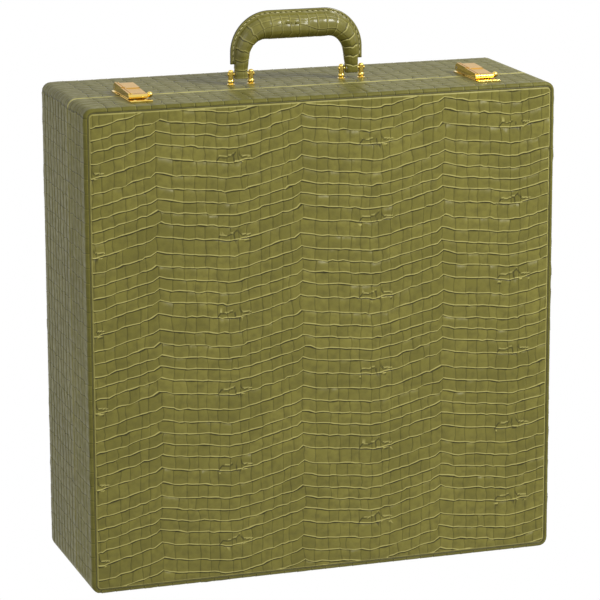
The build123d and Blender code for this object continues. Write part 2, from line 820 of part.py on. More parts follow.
write("latch_plates", group([latch_plate(x) for x in latch_places]))
write("catch_plates", group([catch_plate(x) for x in latch_places]))
write("latch_rivets", group(plate_rivet_set()))
write("catch_rivets", group(catch_rivet_set()))
write("hasp_springs", group([hasp_spring(x) for x in latch_places]))
write(
    "hasp_pins",
    group(
        [
            rod_x(
                x - hasp_width / 2,
                x + hasp_width / 2,
                parting_y + hasp_pivot_back,
                top_z + hasp_pivot_height,
                hasp_pin_radius,
            )
            for x in latch_places
        ]
    ),
)
for side_name, x in zip(("left", "right"), latch_places):
    write(f"hasp_{side_name}", hasp(x))
    write(f"release_{side_name}", release(x))


# Trays
def tray(name, back):
    """Lift-out tray with its floor at the back and its compartments open to the front."""
    half = case_width / 2 - lining_inset - valance_thickness - tray_side_play
    z_low = lining_inset + tray_gap
    z_high = case_height - lining_inset - valance_thickness - tray_top_play
    floor_front = back - tray_floor
    front = back - tray_height
    write(f"{name}_floor", span(-half, half, floor_front, back, z_low, z_high))

    ring = span(-half, half, front, floor_front, z_low, z_high)
    ring = fillet(ring.edges().filter_by(Axis.Y), tray_corner)
    inner = half - tray_rim
    ring -= span(-inner, inner, front - 1, back, z_low + tray_rim, z_high - tray_rim)
    rim = mitred(ring, -half, half, z_low, z_high, 2 * tray_rim, front - 1, back + 1)
    write(f"{name}_rim", group(rim))

    inner_low = z_low + tray_rim
    inner_high = z_high - tray_rim
    divider_front = front + divider_drop
    lap_y = (divider_front + floor_front) / 2
    cell = (2 * inner - (tray_columns - 1) * tray_divider) / tray_columns
    pitch = cell + tray_divider
    column_x = [-inner + (index + 1) * pitch - tray_divider / 2 for index in range(tray_columns - 1)]
    row_cell = (inner_high - inner_low - piece_rows * tray_divider - pawn_row) / piece_rows
    row_pitch = row_cell + tray_divider
    row_z = [inner_low + (index + 1) * row_pitch - tray_divider / 2 for index in range(piece_rows)]
    scoop_z = [z - row_pitch / 2 for z in row_z]
    lap = tray_divider / 2 + half_lap_play
    uprights = []
    for x in column_x:
        x_low = x - tray_divider / 2
        upright = span(x_low, x_low + tray_divider, divider_front, floor_front, inner_low, inner_high)
        for z in row_z:
            upright -= span(x - lap, x + lap, lap_y, floor_front + 1, z - lap, z + lap)
        for z in scoop_z:
            scoop_y = divider_front - scoop_radius + scoop_depth
            upright -= rod_x(x - tray_divider, x + tray_divider, scoop_y, z, scoop_radius)
        uprights.append(upright)
    write(f"{name}_long_dividers", group(uprights))
    crossings = []
    for z in row_z:
        low = z - tray_divider / 2
        crossing = span(-inner, inner, divider_front, floor_front, low, low + tray_divider)
        for x in column_x:
            crossing -= span(x - lap, x + lap, divider_front - 1, lap_y, z - lap, z + lap)
        crossings.append(crossing)
    write(f"{name}_cross_dividers", group(crossings))

    middle_z = inner_low + 1.5 * row_cell + tray_divider
    ribbons = []
    for side in (-1, 1):
        ribbons.append(ribbon(side, inner, front, middle_z))
    write(f"{name}_ribbons", group(ribbons))
    return front


def ribbon(side, inner, front, z):
    """Ribbon pull: glued inside the rim, turned over in a loop and hanging into the compartment."""
    start_y = front + ribbon_drop + ribbon_bend
    wall_x = inner
    loop_x = wall_x - 2 * ribbon_bend
    thick = ribbon_thickness
    outer = ribbon_bend
    lines = [
        Line((wall_x, start_y + ribbon_glued, 0), (wall_x, start_y, 0)),
        ThreePointArc((wall_x, start_y, 0), (wall_x - outer, start_y - outer, 0), (loop_x, start_y, 0)),
        Line((loop_x, start_y, 0), (loop_x, start_y + ribbon_hanging, 0)),
        Line((loop_x, start_y + ribbon_hanging, 0), (loop_x + thick, start_y + ribbon_hanging, 0)),
        Line((loop_x + thick, start_y + ribbon_hanging, 0), (loop_x + thick, start_y, 0)),
        ThreePointArc(
            (loop_x + thick, start_y, 0),
            (wall_x - outer, start_y - outer + thick, 0),
            (wall_x - thick, start_y, 0),
        ),
        Line((wall_x - thick, start_y, 0), (wall_x - thick, start_y + ribbon_glued, 0)),
        Line((wall_x - thick, start_y + ribbon_glued, 0), (wall_x, start_y + ribbon_glued, 0)),
    ]
    strip = extrude(make_face(lines), amount=ribbon_width, dir=(0, 0, 1))
    strip = Pos(0, 0, z - ribbon_width / 2) * strip
    if side < 0:
        strip = mirror(strip, about=Plane.YZ)
    return strip


lower_back = board_inner_y - base_lining - tray_gap
lower_front = tray("lower_tray", lower_back)
upper_front = tray("upper_tray", lower_front - tray_gap)
headspace = upper_front - lid_inner_y - cushion_depth
print("headspace over the upper tray", round(headspace, 2))
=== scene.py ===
"""Looks of a square chess case covered in olive hide with a crocodile grain, standing on its hinge side."""
import math
from collections import namedtuple

import bmesh
import bpy
from mathutils import Matrix, Vector, geometry, noise


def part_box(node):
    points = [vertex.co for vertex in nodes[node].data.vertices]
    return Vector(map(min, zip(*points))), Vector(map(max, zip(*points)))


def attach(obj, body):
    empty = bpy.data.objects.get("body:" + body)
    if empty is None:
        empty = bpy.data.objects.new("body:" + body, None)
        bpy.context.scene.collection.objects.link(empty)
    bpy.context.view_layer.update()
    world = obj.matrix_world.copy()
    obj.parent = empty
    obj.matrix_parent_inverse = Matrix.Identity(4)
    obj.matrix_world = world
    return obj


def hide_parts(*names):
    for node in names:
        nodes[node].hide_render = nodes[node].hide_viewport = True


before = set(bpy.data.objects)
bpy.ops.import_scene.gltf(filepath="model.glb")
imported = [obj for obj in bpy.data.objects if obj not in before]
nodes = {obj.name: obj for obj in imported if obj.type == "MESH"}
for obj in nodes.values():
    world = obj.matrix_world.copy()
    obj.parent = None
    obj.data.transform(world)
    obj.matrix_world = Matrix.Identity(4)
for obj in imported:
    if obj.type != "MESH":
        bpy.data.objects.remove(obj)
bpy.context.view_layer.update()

MM = 0.001


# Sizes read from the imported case, in metres
panel_low, panel_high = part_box("lid_panel")
lid_low, lid_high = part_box("lid_wrap")
base_low, base_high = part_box("base_wrap")
cushion_low, cushion_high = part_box("lid_cushion")
welt_low, welt_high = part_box("handle_welt")
handle_y = (welt_low.y + welt_high.y) / 2
grip_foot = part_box("handle_grip")[0].z
half_width = base_high.x
slot_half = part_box("base_board")[1].x
foot_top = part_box("base_foot_leather")[1].z
hinge_z = sum(corner.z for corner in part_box("hinge_pins")) / 2

# Plated crocodile grain: widths of the scales of a tile from its ridge, heights of its rows downwards
COLUMN_WIDTHS = [w * MM for w in (12.4, 11.2, 10.2, 9.8, 9.6, 10.4, 9.4, 9.0, 10.6, 9.2, 10.4, 8.0, 10.8)]
ROW_HEIGHTS = [h * MM for h in (11.7, 11.0, 10.2, 10.4, 12.1, 13.8)]
TILE_WIDTH = sum(COLUMN_WIDTHS)
TILE_HEIGHT = sum(ROW_HEIGHTS)
TILE_RISE = 7.4 * MM  # how much higher a tile stands than the one on its left
TILE_LEFT = -152 * MM  # the ridge of tile 0
FIRST_ROW = 373.1 * MM  # the foot of repeat 0
# The first tile across and the first repeat up, and how many of each cover the panel
FIRST_TILE, TILES = -1, 5
FIRST_REPEAT, REPEATS = -6, 8
# Rise of a row over one tile: share of the tile's width, height in millimetres
ROW_SWEEP = ((0, 0), (0.1, -3.2), (0.2, -4.6), (0.34, -6.2), (0.42, -7.8), (0.49, -8.8), (0.55, -8.2), (0.65, -6.0),
             (0.72, -3.5), (0.8, -1.0), (0.9, 2.5), (0.97, 4.4), (1, 7.4))
# Cross-section of one scale line: place in millimetres from the line, height in millimetres, tint; a tint below
# nought is a painted shade in the crease, above it a painted highlight on the ridge
SCALE_KNOTS = ((0, -0.42, -1), (0.8, 0.28, 1), (1.8, 0.08, 0), (None, 0.14, 0), (-0.7, 0.02, 0))
RELIEF_ROOM = 0.3 * MM  # how far the plain hide lies behind the panel's face
COLUMN_WANDER = 0.8 * MM
COLUMN_JOG = 2 * MM
COLUMN_STRENGTH = 0.45
ROW_WANDER = 0.5 * MM
ROW_SAG = 0.5 * MM

# Creases of the small scales, once a tile: millimetres from its ridge and from the start of their row
SMALL_SCALES = (((51.3, -20.9), (55.5, -15.4), (61.0, -16.5), (67.9, -14.2), (71.4, -11.1)),
                ((53.4, -23.0), (67.8, -24.6)),
                ((71.4, -11.8), (75.5, -16.3), (83.1, -16.8)),
                ((67.9, -14.2), (68.6, -17.6), (69.2, -20.8), (83.1, -21.6)))
SMALL_ROW = 26.0 * MM
SMALL_AREA = ((49 * MM, -27 * MM), (86 * MM, -9 * MM))
SMALL_CUTS = 3  # how often each edge of the sheet is divided there
FINE_EDGE = 1.5 * MM  # the longest edge that still carries such a line
# Half width, depth and tint of such a crease, the same of the ridge above it, and the step up to it, in millimetres;
# the crease's tint is a painted shade and the ridge's a painted highlight
CREASE_REACH, CREASE_DEPTH, CREASE_TINT = 0.65, 0.25, -0.75
RIDGE_REACH, RIDGE_HEIGHT, RIDGE_TINT = 0.75, 0.2, 0.85
RIDGE_STEP = 1.1

# Edge of the big panels
PANEL_CORNER = 4 * MM
PANEL_TURN = 1.6 * MM  # radius at which the hide turns back to the board
PANEL_TURN_STEPS = 5
# Painted highlight along the panel's turned edge, where its rounded edge catches the light
EDGE_PAINTED_HIGHLIGHT = 0.45
CORNER_STEP = 15  # degrees between the faces of a rounded corner or edge

# Leather of the casings' walls
CORNER = 8 * MM
EDGE_TURN = 3 * MM  # radius at the outer edge
RIM_TURN = 0.8 * MM  # radius at the parting line
RIM_STEP = 22  # degrees between the faces there
HIDE_THICKNESS = 1.2 * MM
WALL_SCALE = 13 * MM  # about the length of a scale along the walls
WALL_ROW = 10.2 * MM  # about its height across them
SLOT_CUT = 4 * MM  # how far the rim is set back for the hinges
SLOT_FADE = 8 * MM  # over what depth
SWING_SLOPE = 1.35  # how fast the rim is set back below the hinge pins, where the lid swings
# Strength of the lines across and along the leather, on its upright and level legs and at its corners
UPRIGHT_GRAIN, LEVEL_GRAIN, CORNER_GRAIN = (0.6, 1.0), (1.0, 0.4), (0, 0.4)
EDGE_GRAIN = 0.7  # the same for the lines that run on over the outer edge
# Caps on the painted highlight of the walls' ridges, on their faces and over the outer edge
WALL_RIDGE_TINT, EDGE_RIDGE_TINT = 0.35, 0.3  # the lightest tints there
# Painted highlight along the parting line's rounded rim, stronger on the level legs than on the upright ones
LEVEL_RIM_HIGHLIGHT, UPRIGHT_RIM_HIGHLIGHT = 1.0, 0.2
WALL_SCALE_WANDER = 1.1 * MM
UPRIGHT_ROW_WANDER, LEVEL_ROW_WANDER = 1.5 * MM, 0.9 * MM
RIM_SWEEP = 4 * MM  # how far the lines on top of the base lean over towards the rim
RIM_SWEEP_DEPTH = 9 * MM

# Handle, from the foot of a leg to the middle of the bar
LEG_X = 50.5 * MM
LEG_TOP = 458.3 * MM
BEND = 24 * MM
GRIP_LEG = LEG_TOP - grip_foot
HALF_GRIP = GRIP_LEG + math.pi / 2 * BEND + LEG_X - BEND
# Distance along the handle, half width, half depth, how far the leg stands out, squareness
GRIP_SECTIONS = ((0, 5.9, 3.9, 1.2, 3), (9.5, 6.0, 4.0, 1.2, 3), (20.8, 6.6, 6.4, 0, 2), (58.5, 10.7, 10.7, 0, 2),
                 (86, 10.7, 10.7, 0, 2))
GRIP_RINGS = 20
GRIP_RUNS = 7
GRIP_RUN = 9.6 * MM
GRIP_FIRST_CELL = 200  # counts its scales apart from those of the panels
RING_WANDER = 1.3 * MM
RING_SAG = 2.4 * MM  # how far the rings sag in front, on the legs
SAG_REACH, SAG_START = 60 * MM, 9 * MM
FERRULE = 4 * MM  # the flattened foot of a leg, where the rings lie straight
BAR_START, BAR_FADE = 30 * MM, 25 * MM  # where the grain of the legs changes to that of the bar
# Strength of the rings round the grip and of the lines along it, and how far those wander round it
LEG_RINGS, LEG_RUNS, LEG_TWIST = 0.9, 0.4, 0.16
BAR_RINGS, BAR_RUNS, BAR_TWIST = 0.45, 1.0, 0.46

# Welt: distance in from its outer edge, half thickness, tint; the darkest tints at the outer edge are its painted cut
# edge, the light one where it rounds onto its face is a painted highlight, and the dark ones in the stitch groove a
# painted shade
WELT_SECTION = ((0, 0, -0.9), (0.12, 0.8, -0.7), (0.5, 1.25, -0.1), (1.0, 1.4, 0.25), (1.8, 1.4, 0), (2.1, 1.1, -0.5),
                (2.7, 1.1, -0.5), (3.0, 1.4, 0.1), (8, 1.4, 0), (14, 1.3, 0))
WELT_CORNER = 36.5 * MM
WELT_LEG = welt_high.z - WELT_CORNER - welt_low.z
HALF_WELT = WELT_LEG + math.pi / 2 * WELT_CORNER + welt_high.x - WELT_CORNER
WELT_STEPS = 120
WELT_RIPPLE = 0.12 * MM
STITCH_INSET = 2.4 * MM
STITCH_PITCH = 5.0 * MM
STITCH_LENGTH = 3.9 * MM
STITCH_SLANT = 0.12
STITCH_PLACE = 1.2 * MM  # from the middle of the welt
THREAD = 0.45 * MM  # half its width
THREAD_DEPTH = 0.9 * THREAD  # it is pulled a little flat

# Padded inside of the lid
FLUTES, FLUTE_STEPS, PAD_ROWS = 6, 12, 56
PAD_DEPTH = 15 * MM  # at the sewn channels
PAD_PUFF = 8  # what a flute rises above them, in millimetres
PAD_PUCKER = 0.6
PAD_EDGE = 2 * MM
PAD_BACK = 0.2 * MM
DRAWN_IN = 14 * MM  # how far from its ends the pad is drawn in
DRAWN_SHARE = 0.45  # what is left of its depth there
FLUTE_ROUND, END_ROUND = 0.6, 0.7  # the smaller, the fuller
CHANNEL_PULL = 0.004  # share by which the channels are pulled towards the middle

# Ribbon pulls
RIBBON_BEND = 3 * MM
RIBBON_HANGING = 20 * MM
RIBBON_THICKNESS = 0.35 * MM
RIBBON_MIDDLE = 0.3 * MM  # the middle of the ribbon, from the outside of its node
RIBBON_WAVE = 0.8 * MM  # how far the hanging end swings out, and over what angle of a wave
RIBBON_ANGLE = 2.4
RIBBON_CUP = 0.3 * MM
RIBBON_STEPS, RIBBON_STRIPS = 48, 8

# A line of a sheet: its place counted in scales and in metres, its height and its tint
Knot = namedtuple("Knot", "cell at height tint")


def linear(colour):
    """Linear colour of an sRGB hex value such as "#8a8446"."""
    parts = [int(colour[i:i + 2], 16) / 255 for i in (1, 3, 5)]
    return [c / 12.92 if c <= 0.04045 else ((c + 0.055) / 1.055) ** 2.4 for c in parts] + [1]


def feed(tree, socket, value):
    """Gives an input its value, or another node's output."""
    if isinstance(value, bpy.types.NodeSocket):
        tree.links.new(value, socket)
    else:
        socket.default_value = value


def add(tree, kind, inputs=None, **settings):
    """A node of a material, with its settings, and its inputs given as values or as another node's output."""
    made = tree.nodes.new("ShaderNode" + kind)
    for name, value in settings.items():
        setattr(made, name, value)
    for name, value in (inputs or {}).items():
        feed(tree, made.inputs[name], value)
    return made


def new_material(name, **shader_values):
    """A material with values on its shader: the material, its tree, its shader and its object coordinates."""
    material = bpy.data.materials.new(name)
    material.use_nodes = True
    tree = material.node_tree
    shader = tree.nodes["Principled BSDF"]
    for socket, value in shader_values.items():
        shader.inputs[socket.replace("_", " ")].default_value = value
    return material, tree, shader, add(tree, "TexCoord").outputs["Object"]


def mix(tree, share, low, high):
    """A colour between two others."""
    node = add(tree, "Mix", {"Factor": share}, data_type="RGBA")
    for name, value in (("A", low), ("B", high)):
        feed(tree, [s for s in node.inputs if s.name == name and s.type == "RGBA"][0], value)
    return [s for s in node.outputs if s.type == "RGBA"][0]


def between(tree, value, low, high, to_low=0.0, to_high=1.0):
    """A value's share of the way from low to high, or the value that stands for it."""
    inputs = {"Value": value, "From Min": low, "From Max": high, "To Min": to_low, "To Max": to_high}
    return add(tree, "MapRange", inputs).outputs["Result"]


def noise_of(tree, place, size, detail=2, roughness=0.5):
    """Soft noise whose patches are about size metres across."""
    inputs = {"Vector": place, "Scale": 1 / size, "Detail": detail, "Roughness": roughness}
    return add(tree, "TexNoise", inputs).outputs["Fac"]


def ribs_of(tree, place, pitch, distortion, direction):
    """Waves that lie pitch metres apart."""
    # A wave texture at scale 1 has its waves 1/20 of a unit apart
    inputs = {"Vector": place, "Scale": 1 / pitch / 20, "Distortion": distortion}
    return add(tree, "TexWave", inputs, bands_direction=direction).outputs["Fac"]


def rough_surface(tree, shader, height, strength, depth):
    """Gives the shader fine relief from a height."""
    bump = add(tree, "Bump", {"Height": height, "Strength": strength, "Distance": depth})
    tree.links.new(bump.outputs["Normal"], shader.inputs["Normal"])


def plated_hide(name, scale_colours, ridge_painted_highlight, crease_painted_shade, gloss, mirror, relief):
    """Cow hide, dyed, pressed with a hot crocodile plate and glazed.

    The glaze gives clear highlights, the ridges carry a painted highlight, the creases a painted shade,
    and fine wrinkles run up the scales.
    """
    material, tree, shader, place = new_material(name, Specular_IOR_Level=mirror)
    cell = add(tree, "UVMap", uv_map="hide").outputs["UV"]
    line = add(tree, "Attribute", attribute_name="line").outputs["Fac"]
    whole = add(tree, "VectorMath", {0: cell}, operation="FLOOR").outputs["Vector"]
    each = add(tree, "TexWhiteNoise", {"Vector": whole}, noise_dimensions="3D").outputs["Value"]
    cloud = noise_of(tree, place, 70 * MM, detail=3)
    mottle = noise_of(tree, place, 6 * MM, detail=4)
    weighed = add(tree, "Math", {0: each, 1: 0.35, 2: cloud}, operation="MULTIPLY_ADD").outputs["Value"]
    scale = mix(tree, between(tree, weighed, 0.4, 0.95), linear(scale_colours[0]), linear(scale_colours[1]))
    scale = mix(tree, between(tree, mottle, 0.4, 0.8), scale, linear(scale_colours[2]))
    # Painted highlight on the ridges and painted shade in the creases, from the sheet's line tint
    ridge = mix(tree, between(tree, line, 0.15, 0.9), scale, linear(ridge_painted_highlight))
    leather_colour = mix(tree, between(tree, line, -0.1, -0.85), ridge, linear(crease_painted_shade))
    tree.links.new(leather_colour, shader.inputs["Base Color"])
    drawn_out = add(tree, "Mapping", {"Vector": place, "Scale": (1, 1, 0.3)}).outputs["Vector"]
    wrinkle = noise_of(tree, drawn_out, 1.6 * MM, detail=3, roughness=0.6)
    pores = noise_of(tree, place, 0.6 * MM)
    grain = add(tree, "Math", {0: wrinkle, 1: pores}, operation="ADD").outputs["Value"]
    rough_surface(tree, shader, grain, relief, 0.16 * MM)
    tree.links.new(between(tree, mottle, 0.3, 0.7, gloss - 0.04, gloss + 0.08), shader.inputs["Roughness"])
    return material


def strip_leather(name, colours):
    """Skived leather strip, dyed with the hide and glazed: fine pores and a duller glaze than the plated hide."""
    material, tree, shader, place = new_material(name, Roughness=0.42, Specular_IOR_Level=0.4)
    mottle = noise_of(tree, place, 4 * MM, detail=4)
    leather_colour = mix(tree, between(tree, mottle, 0.3, 0.7), linear(colours[0]), linear(colours[1]))
    tree.links.new(leather_colour, shader.inputs["Base Color"])
    pores = noise_of(tree, place, 0.6 * MM, detail=3, roughness=0.6)
    rough_surface(tree, shader, pores, 0.4, 0.15 * MM)
    return material


def waxed_thread(name, colours):
    """Linen thread, twisted and waxed: pale, with a slight shine and the twist across it, a turn each 0.6 mm."""
    material, tree, shader, place = new_material(name, Roughness=0.5)
    twist = ribs_of(tree, place, 0.6 * MM, 0.4, "DIAGONAL")
    tree.links.new(mix(tree, twist, linear(colours[0]), linear(colours[1])), shader.inputs["Base Color"])
    rough_surface(tree, shader, twist, 0.5, 0.1 * MM)
    return material


def gilt_brass(name, colours, gloss):
    """Brass turned or stamped, polished and flash gilt: a warm yellow mirror with a faint haze of wear."""
    material, tree, shader, place = new_material(name, Metallic=1.0)
    haze = noise_of(tree, place, 6 * MM, detail=3)
    tint = mix(tree, between(tree, haze, 0.3, 0.7), linear(colours[0]), linear(colours[1]))
    tree.links.new(tint, shader.inputs["Base Color"])
    scratch = noise_of(tree, place, 0.5 * MM)
    tree.links.new(between(tree, scratch, 0.3, 0.7, gloss, gloss + 0.1), shader.inputs["Roughness"])
    rough_surface(tree, shader, scratch, 0.2, 0.02 * MM)
    return material


def brushed_gilt(name, top_colour, side_colour):
    """Gilt brass stamping whose top was brushed from front to back: tan and satin on top, bright at its edges."""
    material, tree, shader, place = new_material(name, Metallic=1.0)
    facing = add(tree, "NewGeometry").outputs["Normal"]
    upward = add(tree, "SeparateXYZ", {"Vector": facing}).outputs["Z"]
    on_top = between(tree, upward, 0.9, 0.98)
    # The brush's scratches are about 0.03 mm apart, and drawn ten times as coarse to show
    strokes = add(tree, "Mapping", {"Vector": place, "Scale": (1, 0.04, 0.04)}).outputs["Vector"]
    scratch = noise_of(tree, strokes, 0.3 * MM)
    brushed = mix(tree, between(tree, scratch, 0.3, 0.7), linear(top_colour[0]), linear(top_colour[1]))
    tree.links.new(mix(tree, on_top, linear(side_colour), brushed), shader.inputs["Base Color"])
    tree.links.new(between(tree, on_top, 0, 1, 0.12, 0.36), shader.inputs["Roughness"])
    rough_surface(tree, shader, scratch, 0.25, 0.03 * MM)
    return material


def zinc_steel(name):
    """Steel wire and sheet, zinc plated: grey, lightly clouded."""
    material, tree, shader, place = new_material(name, Metallic=1.0, Roughness=0.32)
    haze = noise_of(tree, place, 2 * MM, detail=3)
    tree.links.new(mix(tree, haze, linear("#9a9a98"), linear("#c4c4c0")), shader.inputs["Base Color"])
    return material


def cotton_velvet(name, colours):
    """Cotton velvet glued over card: a short pile, brushed in patches, that glows where it turns away.

    It is painted darker in the sewn channels: the stitched seam, and a painted shade in the fold of each channel.
    """
    material, tree, shader, place = new_material(name, Roughness=0.9, Sheen_Weight=0.5, Sheen_Roughness=0.4,
                                                 Specular_IOR_Level=0.2)
    patches = noise_of(tree, place, 22 * MM, detail=3)
    tufts = noise_of(tree, place, 0.9 * MM, roughness=0.7)
    shade = mix(tree, between(tree, patches, 0.3, 0.7), linear(colours[0]), linear(colours[1]))
    shade = mix(tree, between(tree, tufts, 0.35, 0.9), shade, linear(colours[2]))
    # Darkening of the sewn channels: the seam and a painted shade in each channel's fold
    sewn = between(tree, add(tree, "Attribute", attribute_name="line").outputs["Fac"], 0.0, -1.0)
    tree.links.new(mix(tree, sewn, shade, linear(colours[3])), shader.inputs["Base Color"])
    rough_surface(tree, shader, tufts, 0.5, 0.3 * MM)
    return material


def satin_ribbon(name, colours):
    """Woven satin ribbon: long floats give a soft sheen, and fine ribs run along it 0.5 mm apart."""
    material, tree, shader, place = new_material(name, Roughness=0.35, Sheen_Weight=0.3)
    ribs = ribs_of(tree, place, 0.5 * MM, 0.2, "Z")
    tree.links.new(mix(tree, ribs, linear(colours[0]), linear(colours[1])), shader.inputs["Base Color"])
    rough_surface(tree, shader, ribs, 0.3, 0.08 * MM)
    return material


def planed_limewood(name):
    """Limewood boards, planed and left bare: pale, with a straight fine grain and a dull surface."""
    material, tree, shader, place = new_material(name, Roughness=0.6)
    along = add(tree, "Mapping", {"Vector": place, "Scale": (0.08, 1, 1)}).outputs["Vector"]
    grain = noise_of(tree, along, 3 * MM, detail=4, roughness=0.6)
    tint = mix(tree, between(tree, grain, 0.3, 0.7), linear("#b99a6c"), linear("#d8bf94"))
    tree.links.new(tint, shader.inputs["Base Color"])
    rough_surface(tree, shader, grain, 0.3, 0.1 * MM)
    return material


# Arguments: colours of the scales, the painted highlight on the ridges and the painted shade in the creases, then
# gloss, mirror and relief
hide = plated_hide("olive_panel_hide", ("#6a652a", "#7a7434", "#615c27"), "#bdb56c", "#221f08", 0.42, 0.22, 0.35)
walls = plated_hide("olive_wall_hide", ("#67632c", "#747035", "#5f5b29"), "#bdb672", "#1a1706", 0.38, 0.1, 0.4)
handle_hide = plated_hide("olive_handle_hide", ("#706b2d", "#807a39", "#67622a"), "#c2ba72", "#221f08",
                          0.24, 0.32, 0.15)
strip = strip_leather("olive_strip_leather", ("#4d4a1c", "#5d592a"))
thread = waxed_thread("waxed_linen_thread", ("#a49d62", "#c9c38e"))
brass = gilt_brass("polished_gilt_brass", ("#e3c25a", "#efd47a"), 0.14)
brushed = brushed_gilt("brushed_gilt_brass", ("#c49a4c", "#d6af62"), "#e8ca6e")
steel = zinc_steel("zinc_plated_steel")
velvet = cotton_velvet("camel_cotton_velvet", ("#8a6a44", "#a3835a", "#c3a67c", "#4d3820"))
ribbon = satin_ribbon("olive_satin_ribbon", ("#5d5726", "#8a8348"))
wood = planed_limewood("planed_limewood")


# Meshes of sheets of leather, whose lines are knots
def part_way(low, high, share):
    """The number at a share of the way between two others."""
    return low + (high - low) * share


def read_off(table, at):
    """Values of a table of (place, value, ...) rows at a place between two of them."""
    for low, high in zip(table, table[1:]):
        if at <= high[0]:
            share = (at - low[0]) / (high[0] - low[0])
            return [part_way(a, b, share) for a, b in zip(low[1:], high[1:])]
    return list(table[-1][1:])


def wander(across, up, seed):
    """Uneven hand of the plate: a number from about -1 to 1 that is always the same at one place."""
    # Noise is nought at whole numbers, so the place is stretched by an odd factor
    return noise.noise(Vector((across, up, seed)) * 1.37) * 2


def knots(pitches, first=0, start=0.0):
    """Lines of a run of scales, each with its place counted in scales and in metres, its height and its tint."""
    run = []
    for number, pitch in enumerate(pitches, first):
        inner = [(pitch / 2 if offset is None else offset * MM % pitch, height * MM, tint)
                 for offset, height, tint in SCALE_KNOTS]
        for inside, height, tint in sorted(inner):
            run.append(Knot(number + inside / pitch, start + inside, height, tint))
        start += pitch
    run.append(Knot(first + len(pitches), start, SCALE_KNOTS[0][1] * MM, SCALE_KNOTS[0][2]))
    return run


def plain(places, cell=0.5):
    """Lines of a sheet with no scales."""
    return [Knot(cell, at, 0.0, 0.0) for at in places]


def gridded(across, up, put):
    """A sheet of scales: a grid whose lines are knots, where put() gives each crossing its place and tint."""
    # The grid spans -0.5 to 0.5 both ways until its points are put in place
    bm = bmesh.new()
    bmesh.ops.create_grid(bm, x_segments=len(across) - 1, y_segments=len(up) - 1, size=0.5)
    tint = bm.verts.layers.float.new("line")
    cells = bm.loops.layers.uv.new("hide")
    for vert in bm.verts:
        column = across[round((vert.co.x + 0.5) * (len(across) - 1))]
        row = up[round((vert.co.y + 0.5) * (len(up) - 1))]
        vert.co, vert[tint] = put(column, row)
        for loop in vert.link_loops:
            loop[cells].uv = (column.cell, row.cell)
    return bm


def new_object(bm, name, material):
    """The object of a mesh that is done."""
    mesh = bpy.data.meshes.new(name)
    bm.to_mesh(mesh)
    bm.free()
    made = bpy.data.objects.new(name, mesh)
    bpy.context.scene.collection.objects.link(made)
    mesh.materials.append(material)
    return made


def finished(bm, name, material, body, stands_for=()):
    """A smooth piece of a mesh that is done, in its material and on its body."""
    piece = new_object(bm, name, material)
    piece.data.polygons.foreach_set("use_smooth", [True] * len(piece.data.polygons))
    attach(piece, body)
    if stands_for:
        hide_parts(*stands_for)
    return piece


def close_up(bm):
    """Merges a sheet's meeting edges, fills its open ends and points its faces outwards."""
    touching = 0.005 * MM
    bmesh.ops.remove_doubles(bm, verts=bm.verts, dist=touching)
    open_ends = [edge for edge in bm.edges if edge.is_boundary]
    if open_ends:
        bmesh.ops.holes_fill(bm, edges=open_ends, sides=0)
    bmesh.ops.recalc_face_normals(bm, faces=bm.faces)


def stronger(first, second):
    """The one of two tints that is further from none."""
    return max(first, second, key=abs)


def verts_of(made):
    """The vertices among what an operator made."""
    return [g for g in made if isinstance(g, bmesh.types.BMVert)]


# The big panels
def panel_hide(name, face_y, outward, body, node):
    """The big padded panel: plated hide over a board, its scale rows in chevrons."""
    across = knots(COLUMN_WIDTHS * TILES, start=TILE_LEFT + FIRST_TILE * TILE_WIDTH)
    up = knots(ROW_HEIGHTS[::-1] * REPEATS, start=FIRST_ROW + FIRST_REPEAT * TILE_HEIGHT)

    def put(column, row):
        tile, share = divmod((column.at - TILE_LEFT) / TILE_WIDTH, 1)
        x = column.at + COLUMN_WANDER * wander(column.cell * 0.9, row.cell * 1.1, 1) + COLUMN_JOG * jog(column, row)
        z = row.at + tile * TILE_RISE + read_off(ROW_SWEEP, share)[0] * MM
        z += ROW_WANDER * wander(column.cell * 1.1, row.cell * 0.9, 7)
        z -= ROW_SAG * math.sin(math.pi * (column.cell % 1)) * wander(column.cell // 1, row.cell // 1, 4)
        height = row.height + COLUMN_STRENGTH * column.height
        # The tint paints the rows' ridge highlight and crease shade, and only the columns' crease shade
        tint = stronger(row.tint, COLUMN_STRENGTH * min(column.tint, 0))
        return Vector((x, face_y - outward * (RELIEF_ROOM - height), z)), tint

    bm = gridded(across, up, put)
    press_small_scales(bm, outward)
    trim_to_panel(bm)
    turn_the_edge(bm, outward)
    return finished(bm, name, hide, body, [node])


def jog(column, row):
    """How far a column's line stands aside in one row of scales: it steps over from row to row."""
    number = math.floor(row.cell)
    aside = wander(column.cell * 0.6, number * 2.3, 11)
    if row.cell == number:
        aside = (aside + wander(column.cell * 0.6, (number - 1) * 2.3, 11)) / 2
    return aside


